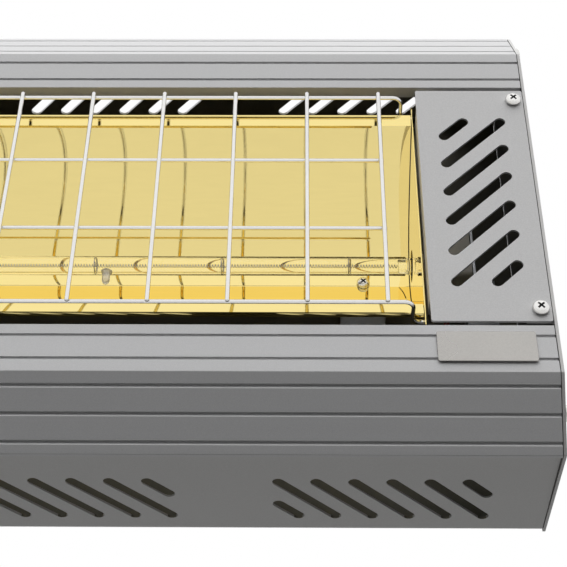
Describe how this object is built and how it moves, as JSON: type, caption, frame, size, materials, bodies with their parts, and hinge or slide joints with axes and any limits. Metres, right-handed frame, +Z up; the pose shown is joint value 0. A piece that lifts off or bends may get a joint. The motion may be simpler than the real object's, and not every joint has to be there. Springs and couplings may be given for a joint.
{
  "type": "infrared wall heater",
  "caption": "Wall-hung infrared patio heater head with a quartz lamp, gold trough reflector, wire guard, slotted end covers and a tilting wall bracket.",
  "frame": {"origin": "centre of the wall plate's rear face, at the height of the tilt pivot", "axes": "+X along the housing, to the right when seen from the front; +Y into the wall, so the heater faces -Y; +Z up"},
  "size_m": [0.4546, 0.1788, 0.272],
  "materials": {
    "paint": "fine-textured silver-grey powder coat on aluminium extrusion",
    "casing_paint": "fine-textured silver-grey powder coat on sheet steel",
    "cover_paint": "fine-textured silver-grey powder coat on sheet steel",
    "gold_reflector": "gold-coloured mirror polish",
    "guard_steel": "bright drawn wire, welded",
    "bright_steel": "bright plated screws",
    "zinc_steel": "zinc-plated steel",
    "quartz": "clear quartz glass",
    "tungsten": "drawn tungsten",
    "ceramic": "unglazed steatite",
    "badge_metal": "satin, blank",
    "black_plastic": "matt black nylon",
    "silicone": "silicone-rubber insulation",
    "bracket_paint": "grey powder coat on sheet steel"
  },
  "bodies": {
    "bracket": {"wall_bracket": "bracket_paint"},
    "head": {"upper_front_rail": "paint", "lower_front_rail": "paint", "rear_casing": "casing_paint", "end_plate_left": "casing_paint", "end_cover_left": "cover_paint", "cover_screw_left_upper": "bright_steel", "end_screw_left_upper": "bright_steel", "cover_screw_left_lower": "bright_steel", "end_screw_left_lower": "bright_steel", "reflector_cheek_left": "gold_reflector", "reflector_bridge_left": "zinc_steel", "reflector_screw_left": "bright_steel", "pinch_seal_left": "quartz", "lamp_cap_left": "ceramic", "lamp_holder_left": "ceramic", "holder_bracket_left": "zinc_steel", "lamp_lead_left": "silicone", "pivot_lug_left": "bracket_paint", "pivot_bolt_left": "zinc_steel", "pivot_nut_left": "zinc_steel", "friction_washer_left": "black_plastic", "end_plate_right": "casing_paint", "end_cover_right": "cover_paint", "cover_screw_right_upper": "bright_steel", "end_screw_right_upper": "bright_steel", "cover_screw_right_lower": "bright_steel", "end_screw_right_lower": "bright_steel", "reflector_cheek_right": "gold_reflector", "reflector_bridge_right": "zinc_steel", "reflector_screw_right": "bright_steel", "pinch_seal_right": "quartz", "lamp_cap_right": "ceramic", "lamp_holder_right": "ceramic", "holder_bracket_right": "zinc_steel", "lamp_lead_right": "silicone", "pivot_lug_right": "bracket_paint", "pivot_bolt_right": "zinc_steel", "pivot_nut_right": "zinc_steel", "friction_washer_right": "black_plastic", "reflector": "gold_reflector", "lamp_tube": "quartz", "lamp_filament": "tungsten", "guard_rail_top": "guard_steel", "guard_rail_upper": "guard_steel", "guard_rail_lower": "guard_steel", "guard_rail_bottom": "guard_steel", "guard_wire_1": "guard_steel", "guard_wire_2": "guard_steel", "guard_wire_3": "guard_steel", "guard_wire_4": "guard_steel", "guard_wire_5": "guard_steel", "guard_wire_6": "guard_steel", "guard_wire_7": "guard_steel", "guard_wire_8": "guard_steel", "guard_wire_9": "guard_steel", "badge_plate": "badge_metal", "terminal_block": "ceramic", "cable_gland": "black_plastic"}
  },
  "joints": [
    {"name": "head_tilt", "type": "hinge", "parent": "bracket", "child": "head", "pos_m": [0, -0.066, 0], "axis": [1, 0, 0], "range_deg": [0, 35]}
  ]
}
